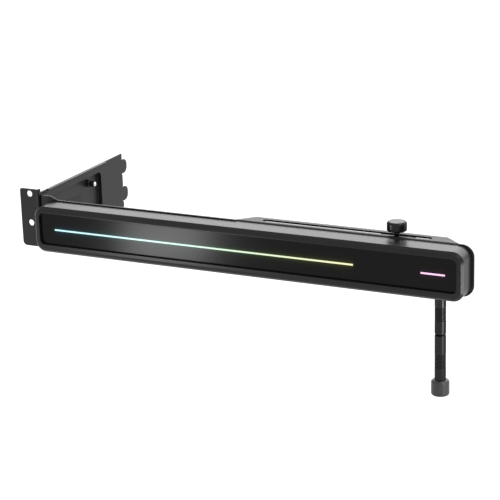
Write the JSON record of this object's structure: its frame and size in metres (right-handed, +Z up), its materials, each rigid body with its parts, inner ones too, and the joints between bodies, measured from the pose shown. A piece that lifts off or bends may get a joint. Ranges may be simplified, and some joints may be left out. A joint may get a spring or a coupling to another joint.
{
  "type": "graphics card support bracket",
  "caption": "Graphics card support bracket: a lit bar on a folded steel carrier, fixed at two rear slots, with a sliding support screw and a screw-height leg.",
  "frame": {"origin": "midway between the two slot screw holes, on the front face of the screw tab", "axes": "+X along the light bar, +Y into the case away from the tab's screw heads, +Z up as fitted"},
  "size_m": [0.3216, 0.1335, 0.1104],
  "materials": {
    "black_steel": "satin",
    "bright_steel": "gloss",
    "dark_alloy": "satin",
    "bar_shell": "satin",
    "window": "gloss",
    "light": "satin",
    "circuit_board": "matte",
    "lamp": "satin",
    "black_rubber": "matte"
  },
  "bodies": {
    "frame": {"slot_bracket": "black_steel", "clamp_bolt": "bright_steel", "clamp_nut": "black_steel", "carrier": "black_steel", "carrier_rivets": "black_steel", "housing": "bar_shell", "front_bezel": "bar_shell", "front_panel": "window", "long_light_guide": "light", "short_light_guide": "light", "led_strip": "circuit_board", "leds": "lamp", "lead_socket": "circuit_board", "lead_grommet": "black_rubber", "housing_screws": "black_steel", "upper_post": "dark_alloy", "post_nut": "black_steel"},
    "slider": {"slider_block": "dark_alloy", "slider_nut": "black_steel"},
    "support": {"support_knob": "dark_alloy", "support_pad": "black_rubber"},
    "leg": {"lower_post": "dark_alloy", "foot_cap": "black_rubber"}
  },
  "joints": [
    {"name": "slider_slide", "type": "slide", "parent": "frame", "child": "slider", "axis": [1, 0, 0], "range_m": [-0.0795, 0.0125]},
    {"name": "support_height", "type": "slide", "parent": "slider", "child": "support", "axis": [0, 0, 1], "range_m": [-0.0022, 0.005]},
    {"name": "leg_height", "type": "slide", "parent": "frame", "child": "leg", "axis": [0, 0, -1], "range_m": [0, 0.015]}
  ]
}
